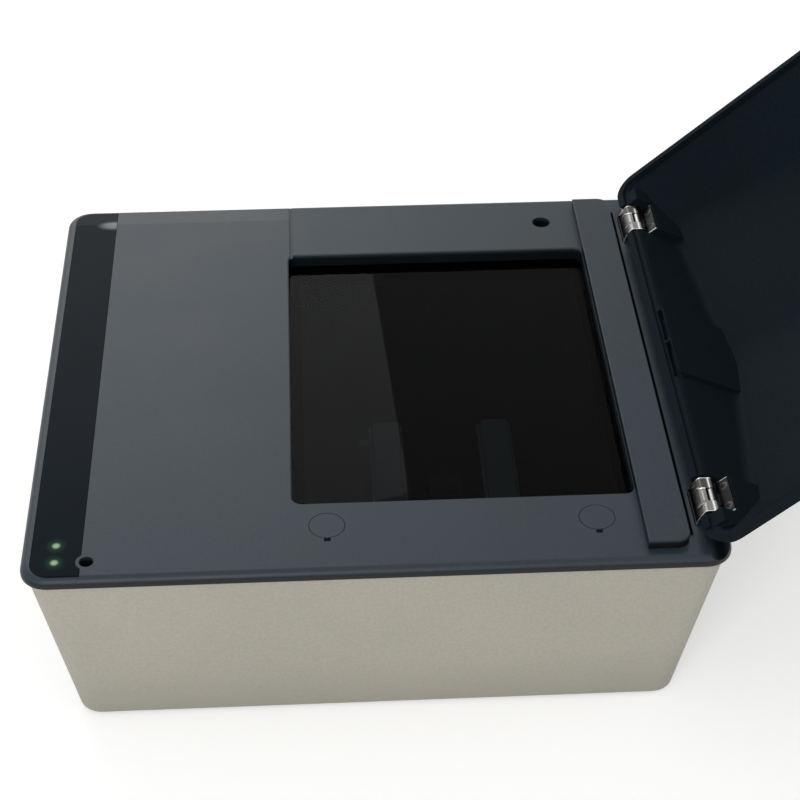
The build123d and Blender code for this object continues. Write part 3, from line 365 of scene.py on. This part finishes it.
def bent(corners, radius, steps=8):
    """Points along a line whose inner corners are rounded: from radius before each corner C
    to radius after it, (1 - t)^2 enter + 2 t (1 - t) C + t^2 leave."""
    corners = np.array(corners, float)
    points = [corners[:1]]
    turn = np.linspace(0, 1, steps)[:, None]
    for before, corner, after in zip(corners, corners[1:], corners[2:]):
        back, on = before - corner, after - corner
        enter = corner + back * min(0.5, radius / np.linalg.norm(back))
        leave = corner + on * min(0.5, radius / np.linalg.norm(on))
        points.append((1 - turn) ** 2 * enter + 2 * turn * (1 - turn) * corner + turn ** 2 * leave)
    return np.vstack(points + [corners[-1:]])


def arc(radius, start_deg, end_deg, steps=30):
    """Points on a circle about the pin: radius times (cos angle, sin angle)."""
    angle = np.radians(np.linspace(start_deg, end_deg, steps))
    return radius * np.column_stack([np.cos(angle), np.sin(angle)])


def add_piece(name, mesh, finish, body, stands_for):
    """Puts the mesh in the scene as a piece of that body in place of the CAD nodes."""
    mesh.polygons.foreach_set("use_smooth", np.ones(len(mesh.polygons), bool))
    piece = bpy.data.objects.new(name, mesh)
    bpy.context.scene.collection.objects.link(piece)
    mesh.materials.append(finish)
    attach(piece, body)
    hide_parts(*stands_for)
    return piece


def sheets(name, grids, thick, finish, body, stands_for):
    """Sheet metal: each grid holds points [along, across], which of its squares are metal and
    how much painted light each point gets; the sheet gets its thickness about them, its edges are
    broken."""
    points, faces, shine, count = [], [], [], 0
    for grid, solid, painted_light in grids:
        rows, columns = grid.shape[:2]
        index = count + np.arange(rows * columns).reshape(rows, columns)
        square = np.stack([index[:-1, :-1], index[:-1, 1:], index[1:, 1:], index[1:, :-1]], -1)
        points.append(grid.reshape(-1, 3))
        shine.append(np.broadcast_to(painted_light, grid.shape[:2]).ravel())
        faces += square[solid].tolist()
        count += rows * columns
    points, shine = np.vstack(points), np.concatenate(shine)
    used = np.unique(faces)
    renamed = np.full(count, -1)
    renamed[used] = np.arange(len(used))
    mesh = bpy.data.meshes.new(name)
    mesh.from_pydata(points[used].tolist(), [], renamed[np.array(faces)].tolist())
    mesh.attributes.new("painted_light", "FLOAT", "POINT").data.foreach_set("value", shine[used])
    piece = add_piece(name, mesh, finish, body, stands_for)
    depth = piece.modifiers.new("thickness", "SOLIDIFY")
    depth.thickness, depth.offset, depth.use_even_offset = thick, 0, True
    broken_edge = 0.00014
    edge = piece.modifiers.new("edges", "BEVEL")
    edge.width, edge.segments = broken_edge, 2
    edge.limit_method, edge.angle_limit = "ANGLE", math.radians(45)


# In metres the pins' line and their middles; in mm from the pin the sizes of the sheets.
hinge_x, hinge_z, hinge_ys = 0.1012, 0.073, (-0.0752, 0.0752)
leaf_half, knuckle_half, play, leaf_t, roll_r, slot_x = 7.5, 2.6, 0.3, 0.7, 1.28, -1.93
foot_end, foot_z, fall_x, fall_z, flat_end = -12.05, -7.45, -5.65, -2.7, -3.2
bead_h, bead_w, bead_y, bead_slope, bead_run = 0.2, 0.28, 2.6, 1.9, 2.4
bead_start, bead_end = -1.4, -5.8
dimple_depth, dimple_x, dimple_y, dimple_half_x, dimple_half_y = 0.22, -3.3, -3.6, 0.75, 0.55
edge_band, edge_fade = 0.45, 0.3
# Nickel whose colour goes to painted shade and painted highlight with the leaves' attribute of
# painted light.
nickel = metal("bright_nickel", tone(128, 127, 124), 0.16, 0.1,
               (tone(62, 61, 58), tone(245, 244, 240)))


def across(marks, step=0.25):
    """Places across the sheet at about that step, with every mark among them."""
    parts = [np.linspace(a, b, max(2, round((b - a) / step) + 1))[:-1]
             for a, b in zip(marks, marks[1:])]
    return np.concatenate(parts + [marks[-1:]])


def leaf_grid(line, columns, hy, bead=None):
    """The line (x, z in mm from the pin) carried along Y: the point at (s, y) is
    line(s) + bead(line(s), y) * normal(s), and y, about the hinge at hy."""
    run = np.gradient(line, axis=0)
    normal = np.column_stack([-run[:, 1], run[:, 0]]) / np.linalg.norm(run, axis=1)[:, None]
    flat = np.zeros((len(line), len(columns)))
    lift = bead(line[:, :1], columns[None, :]) if bead else flat
    x = line[:, :1] + lift * normal[:, :1]
    z = line[:, 1:] + lift * normal[:, 1:]
    y = np.broadcast_to(columns, x.shape)
    return np.stack([hinge_x + x / 1000, hy + y / 1000, hinge_z + z / 1000], -1)


def bead_path(x):
    """The bead's place: y = bead_y on the flat, then outward by the slope from flat_end on."""
    return bead_y + np.clip(-x + flat_end, 0, bead_run) * bead_slope


def oval(x, y):
    """The dimple: exp(-(dx / half_x)^2 - (dy / half_y)^2) about its middle."""
    return np.exp(-((x - dimple_x) / dimple_half_x) ** 2 - ((y - dimple_y) / dimple_half_y) ** 2)


def pressed(x, y):
    """A narrow raised bead along X on the flat that runs to the rear corner down the slope,
    less an oval dimple: bead_h exp(-((y - path(x)) / bead_w)^2) - dimple_depth oval(x, y)."""
    bead = bead_h * np.exp(-((y - bead_path(x)) / bead_w) ** 2) * (x < bead_start) * (x > bead_end)
    return bead - dimple_depth * oval(x, y)


def ends(y):
    """1 at the two ends of the leaf, where the punched edges get a painted highlight, 0 within."""
    return np.clip((np.abs(y) - leaf_half + edge_band) / edge_fade, 0, 1)


def roll_shine(x, z):
    """The painted highlight along the roll: exp(-((x - roll_x) / roll_w)^2) on its top, 0 below."""
    roll_x, roll_w, roll_low = -0.55, 0.4, 0.9
    return np.exp(-((x - roll_x) / roll_w) ** 2) * (z > roll_low)


def deck_painted_light(line, y):
    """Painted highlights along the roll, the bead, the dimple and the ends; painted shade behind
    the bead, a little lighter further out on the flat.
    """
    x, z = line[:, :1], line[:, 1:]
    bead = np.exp(-((y - bead_path(x)) / 0.3) ** 2) * (x < bead_start)
    plain = 0.5 - 0.4 * (y > bead_path(x)) + 0.1 * np.clip(-x - 3, 0, 2) / 2
    bright = np.maximum.reduce([roll_shine(x, z) + 0 * y, bead, 0.8 * oval(x, y), ends(y) + 0 * x])
    return np.maximum(plain * (1 - bright), bright)


deck_flat = bent([(foot_end, foot_z), (fall_x, foot_z), (fall_x, fall_z),
                  (flat_end, roll_r), (slot_x, roll_r)], 1.2, 12)
deck_roll = arc(roll_r, 90, -195)
deck_line = np.vstack([deck_flat, [[-1.2, roll_r], [-0.5, roll_r]], deck_roll])
deck_columns = across([-leaf_half, -knuckle_half - play, knuckle_half + play, leaf_half])
deck_grids = []
for hy in hinge_ys:
    grid = leaf_grid(deck_line, deck_columns, hy, pressed)
    middle = np.abs(deck_columns[:-1] + deck_columns[1:]) / 2 < knuckle_half + play
    past_slot = np.arange(len(deck_line) - 1) >= len(deck_flat) - 1
    metal_left = ~(past_slot[:, None] & middle[None, :])
    deck_grids.append((grid, metal_left, deck_painted_light(deck_line, deck_columns)))
sheets("deck_hinges", deck_grids, leaf_t / 1000, nickel,
       "base", ["hinge_deck_leaves"])

# Lid leaves: the middle knuckle on the same pin and a plate screwed to the hood's boss.
# They are laid out closed, as the hood would lie on the deck, and turned open with it.
open_turn = math.radians(138.24)
plate_end, plate_z, plate_bend = -5.3, 2.5, -0.9
tongue_x, tongue_z, tongue_deg = 0.846, 0.96, 48.6
tongue_line = bent([(plate_end, plate_z), (plate_bend, plate_z), (tongue_x, tongue_z)], 0.8, 8)
lid_line = np.vstack([tongue_line[:-1], arc(roll_r, tongue_deg, -240)])
lid_columns = across([-leaf_half, -knuckle_half, knuckle_half, leaf_half])


def opened(points):
    """Points of the closed hood turned up about the pins by the angle a:
    x' = x cos a + z sin a, z' = z cos a - x sin a, both measured from the pins' line."""
    x, z = points[..., 0] - hinge_x, points[..., 2] - hinge_z
    turned = points.copy()
    turned[..., 0] = hinge_x + x * math.cos(open_turn) + z * math.sin(open_turn)
    turned[..., 2] = hinge_z - x * math.sin(open_turn) + z * math.cos(open_turn)
    return turned


lid_grids = []
for hy in hinge_ys:
    grid = opened(leaf_grid(lid_line, lid_columns, hy))
    tongue = np.abs(lid_columns[:-1] + lid_columns[1:]) / 2 < knuckle_half
    plate = lid_line[:-1, 1] > plate_z - 0.01
    plate_rows = (lid_line[:, 1] > plate_z - 0.1)[:, None]
    # Painted highlights on the lid leaves: along the roll and at the ends of the plate.
    roll = roll_shine((grid[..., 0] - hinge_x) * 1000, (grid[..., 2] - hinge_z) * 1000)
    shine = 0.5 + 0.5 * np.maximum(ends(lid_columns) * plate_rows, roll)
    lid_grids.append((grid, plate[:, None] | tongue[None, :], shine))
# Painted shade: the lid leaves get a copy of the nickel painted far darker, with darker and
# brighter colours for their painted shade and highlights.
nickel_in_painted_shade = metal("shaded_lid_nickel", tone(30, 30, 31), 0.3, 0.15,
                    (tone(20, 20, 21), tone(170, 170, 168)))
sheets("lid_hinges", lid_grids, leaf_t / 1000, nickel_in_painted_shade,
       "lid", ["hinge_lid_leaves"])


# Screws that show: turned steel, zinc-plated, cross recessed, raised countersunk in the lid
# leaves and pan-headed deep in the holes of the deck.
def screws(name, heads, finish, body, stands_for, turn=None):
    """Turned screws. Each head is (place, up or down, profile of (radius, height) in mm, recess
    radius, recess depth): each profile point goes round as radius (cos a, sin a), and the
    cross is pressed into the top where its arms lie."""
    around = np.linspace(0, 2 * np.pi, 48, endpoint=False)
    points, faces, count = [], [], 0
    for place, way, profile, cross_r, cross_depth in heads:
        profile = np.array(profile, float)
        radius, height = profile[:, :1], profile[:, 1:]
        x, y = radius * np.cos(around), radius * np.sin(around)
        arm = np.minimum(np.abs(x), np.abs(y)) < cross_r * 0.24
        z = height - cross_depth * (arm & (radius < cross_r) & (height > 0))
        ring = [place[0] + x / 1000, place[1] + way * y / 1000, place[2] + way * z / 1000]
        rows, columns = x.shape
        index = count + np.arange(rows * columns).reshape(rows, columns)
        turned = np.roll(index, -1, 1)
        walls = np.stack([index[:-1], turned[:-1], turned[1:], index[1:]], -1)
        faces += walls.reshape(-1, 4).tolist()
        faces += [index[0, ::-1].tolist(), index[-1].tolist()]
        points.append(np.stack(ring, -1).reshape(-1, 3))
        count += rows * columns
    points = np.vstack(points)
    mesh = bpy.data.meshes.new(name)
    mesh.from_pydata((turn(points) if turn else points).tolist(), [], faces)
    add_piece(name, mesh, finish, body, stands_for)
    mesh.set_sharp_from_angle(angle=math.radians(40))


dome_shares = np.linspace(1, 0.015, 16)


def head_profile(shank_r, shank_l, under, edge, crown):
    """Shank end, shank, underside of the head at height under, its edge, and a low dome:
    the height is crown (1 - k^2) at the share k of the edge's radius."""
    shank = [(shank_r * 0.8, -shank_l), (shank_r, -shank_l + 0.4), (shank_r, under)]
    dome = [(edge * k, crown * (1 - k ** 2)) for k in dome_shares]
    return shank + [(edge, min(under, 0) * 0.1)] + dome


zinc = metal("zinc_steel", tone(150, 150, 148), 0.25, 0.2)
# Painted shade: the screws in the lid leaves get a copy of the zinc painted darker.
zinc_in_painted_shade = metal("zinc_in_painted_shade", tone(72, 72, 71), 0.35, 0.2)
screw_out, screw_dy, screw_seat = 0.0033, 0.0044, 0.00215
lid_head = head_profile(shank_r=0.9, shank_l=3.5, under=-0.6, edge=1.6, crown=0.16)
lid_cross_r, lid_cross_depth = 0.95, 0.45
lid_heads = []
for hy in hinge_ys:
    for side in (-1, 1):
        spot = (hinge_x - screw_out, hy + side * screw_dy, hinge_z + screw_seat)
        lid_heads.append((spot, -1, lid_head, lid_cross_r, lid_cross_depth))
screws("lid_hinge_screws", lid_heads, zinc_in_painted_shade,
       "lid", ["hinge_lid_screws"], opened)

# In mm: x, y and the head's radius of each cover screw, then the profile that they share.
cover_spots = ((-14.9, -77.3, 2.7), (66.2, -77.6, 2.7), (67.0, 82.0, 2.7), (-85.5, -89.5, 1.85))
cover_screw_z = 0.0614
tip_r, shank_r, tip_z, shank_z, neck_z = 1.2, 1.5, -15.4, -15.0, -1.4
under_z, rim_z, crown, rim_drop, cross_share, cross_depth = -1.35, -0.35, 0.4, 0.3, 0.55, 0.9
cover_heads = []
for x, y, edge in cover_spots:
    low = [(tip_r, tip_z), (shank_r, shank_z), (shank_r, neck_z), (edge, under_z), (edge, rim_z)]
    dome = [(edge * k, crown * (1 - k ** 2) - rim_drop * (k > 0.99)) for k in dome_shares]
    spot = (x / 1000, y / 1000, cover_screw_z)
    cover_heads.append((spot, 1, low + dome, edge * cross_share, cross_depth))
screws("cover_screw_set", cover_heads, zinc, "base", ["cover_screws"])

# Pins, the screws hidden inside, heat sink and socket shell: they keep their CAD shapes, in
# the same zinc-plated steel, in raw aluminium and in tinned sheet.
dress(["hinge_pins", "hinge_deck_screws", "stop_bar_screws", "status_board_screws",
       "antenna_screws", "light_box_screws", "camera_screws", "board_screws"], zinc)
dress(["heat_sink"], metal("raw_aluminium", tone(186, 188, 190), 0.35, 0.4))
dress(["usb_socket"], metal("tinned_shell", tone(200, 200, 198), 0.28, 0.2))

# Rubber, foam and the inner plastics, moulded and clipped, glued or screwed in their places:
# black where light must not stray, white where it must.
dress(["rubber_feet", "glass_gasket", "light_seal"], moulded("black_rubber", tone(24, 24, 25), 0.8))
dress(["light_box", "camera_holder"],
      moulded("optics_plastic", tone(8, 8, 9), 0.85, spec=0.1, depth=0.05))
dress(["camera_lens"], moulded("lens_barrel", tone(16, 16, 17), 0.4))
dress(["processor", "buzzer", "power_jack"], moulded("chip_plastic", tone(28, 28, 30), 0.45))
dress(["board_connectors"], moulded("connector_nylon", tone(225, 222, 210), 0.5))
dress(["camera_ribbon", "light_ribbon", "status_ribbon"],
      moulded("ribbon_film", tone(222, 224, 226), 0.4))
dress(["diffusers"], moulded("milky_acrylic", tone(190, 192, 192), 0.5))
dress(["light_boards"], moulded("white_board", tone(228, 230, 228), 0.45))
dress(["main_board", "camera_board", "status_board", "antenna_board"],
      moulded("green_board", tone(26, 84, 50), 0.35))
dress(["image_chip"], tinted("sensor_face", tone(36, 30, 48), 0.1))


# Lamps: small bodies cast in epoxy and soldered to their boards. The two under the strip
# are lit green, those in the light box are off.
def lamp_body(name, colour, strength):
    """Cast epoxy with a faint mist in it, lit from inside at that strength."""
    made, start, place = new_finish(name)
    mist = noise(start, place, 900.0, 1.0)
    lit = mist.blend(shaded(colour, 0.9), colour)
    close_finish(start, principled(start, {
        "Base Color": lit, "Roughness": mist * 0.1 + 0.2,
        "Emission Color": lit, "Emission Strength": strength}))
    return made


dress(["status_leds"], lamp_body("green_lamp", tone(110, 230, 120), 0.6))
dress(["light_leds"], lamp_body("white_lamp", tone(236, 230, 190), 0.0))
